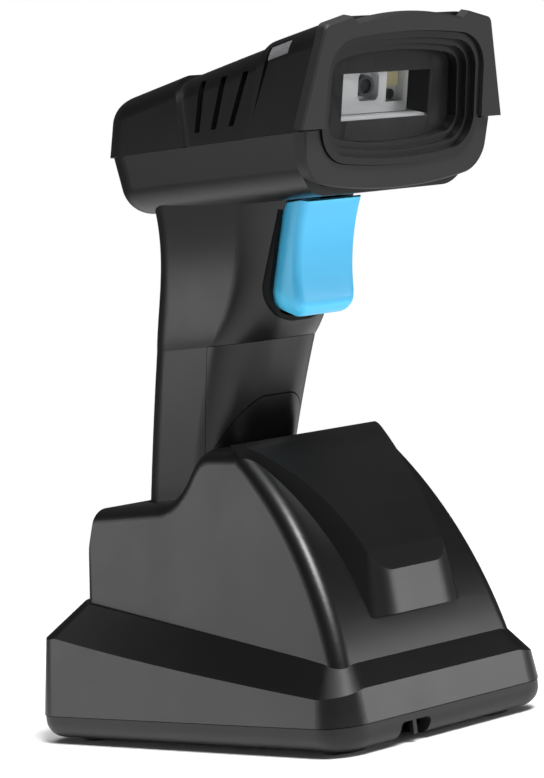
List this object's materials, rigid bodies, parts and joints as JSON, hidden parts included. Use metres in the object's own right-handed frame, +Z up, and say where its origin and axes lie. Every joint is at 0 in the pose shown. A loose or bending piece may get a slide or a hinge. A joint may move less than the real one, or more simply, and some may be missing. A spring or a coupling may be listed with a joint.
{
  "type": "handheld barcode scanner",
  "caption": "Cordless pistol-grip barcode scanner with a trigger, standing nose-up in a weighted desktop charging cradle.",
  "frame": {"origin": "middle of the footprint's bounding box, on the table", "axes": "+Z up, the scan window faces -Y, +X is the scanner's left-hand side as it looks at the code"},
  "size_m": [0.0808, 0.1511, 0.1925],
  "materials": {
    "black_abs": "satin moulded",
    "bezel_abs": "fine matt texture",
    "funnel_abs": "ridged, matt",
    "foot_abs": "satin moulded",
    "cradle_abs": "satin moulded",
    "base_abs": "fine matt texture",
    "blue_abs": "smooth moulded",
    "light_pipe": "frosted, translucent",
    "window_acrylic": "clear, polished",
    "engine_casting": "light grey cast",
    "lens_glass": "coated",
    "led_resin": "clear resin",
    "circuit_board": "solder mask",
    "chip_epoxy": "moulded epoxy",
    "shield_can": "tin plated",
    "connector_nylon": "natural nylon",
    "gold_contact": "gold plated",
    "steel": "turned",
    "ballast_steel": "sheared plate",
    "cell_can": "shrink wrap over a steel can",
    "rubber": "moulded"
  },
  "bodies": {
    "cradle": {"cradle_housing": "cradle_abs", "base_plate": "base_abs", "rubber_feet": "rubber", "base_screws": "steel", "ballast": "ballast_steel", "power_socket": "shield_can", "charge_board": "circuit_board", "charge_chip": "chip_epoxy", "contact_block": "chip_epoxy"},
    "scanner": {"top_cover": "black_abs", "body_shell": "black_abs", "battery_door": "black_abs", "trigger_collar": "black_abs", "bezel_upper": "bezel_abs", "bezel_lower": "bezel_abs", "window_frame": "funnel_abs", "window_mask": "funnel_abs", "engine_bracket": "funnel_abs", "handle_foot": "foot_abs", "indicator_left": "light_pipe", "indicator_right": "light_pipe", "scan_window": "window_acrylic", "scan_engine": "engine_casting", "lens_barrel": "engine_casting", "imaging_lens": "lens_glass", "aimer_lens": "lens_glass", "illumination_led": "led_resin", "status_leds": "led_resin", "main_board": "circuit_board", "trigger_board": "circuit_board", "foot_board": "circuit_board", "processor": "chip_epoxy", "beeper": "chip_epoxy", "radio_module": "shield_can", "engine_connector": "connector_nylon", "trigger_switch": "connector_nylon", "charge_pads": "gold_contact", "battery_contacts": "gold_contact", "trigger_pin": "steel", "body_screws": "steel", "battery_cell": "cell_can"},
    "trigger": {"trigger": "blue_abs", "trigger_spring": "steel"},
    "plunger": {"switch_plunger": "connector_nylon"},
    "pins": {"contact_pins": "gold_contact"}
  },
  "joints": [
    {"name": "scanner_lift", "type": "slide", "parent": "cradle", "child": "scanner", "axis": [0, -0.2504, 0.9681], "range_m": [0, 0.09]},
    {"name": "trigger_pull", "type": "hinge", "parent": "scanner", "child": "trigger", "pos_m": [0, -0.022, 0.154], "axis": [1, 0, 0], "range_deg": [0, 2.8], "stiffness_Nm_per_rad": 0.6, "springref_deg": -3.44},
    {"name": "switch_press", "type": "slide", "parent": "scanner", "child": "plunger", "axis": [0, 1, 0], "range_m": [0, 0.0005]},
    {"name": "pin_press", "type": "slide", "parent": "cradle", "child": "pins", "axis": [0, -0.2504, 0.9681], "range_m": [-0.0008, 0], "stiffness_N_per_m": 800, "springref_m": 0.0006}
  ],
  "couplings": [
    {"joint": "switch_press", "follows": "trigger_pull", "m_per_rad": 0.0102}
  ]
}
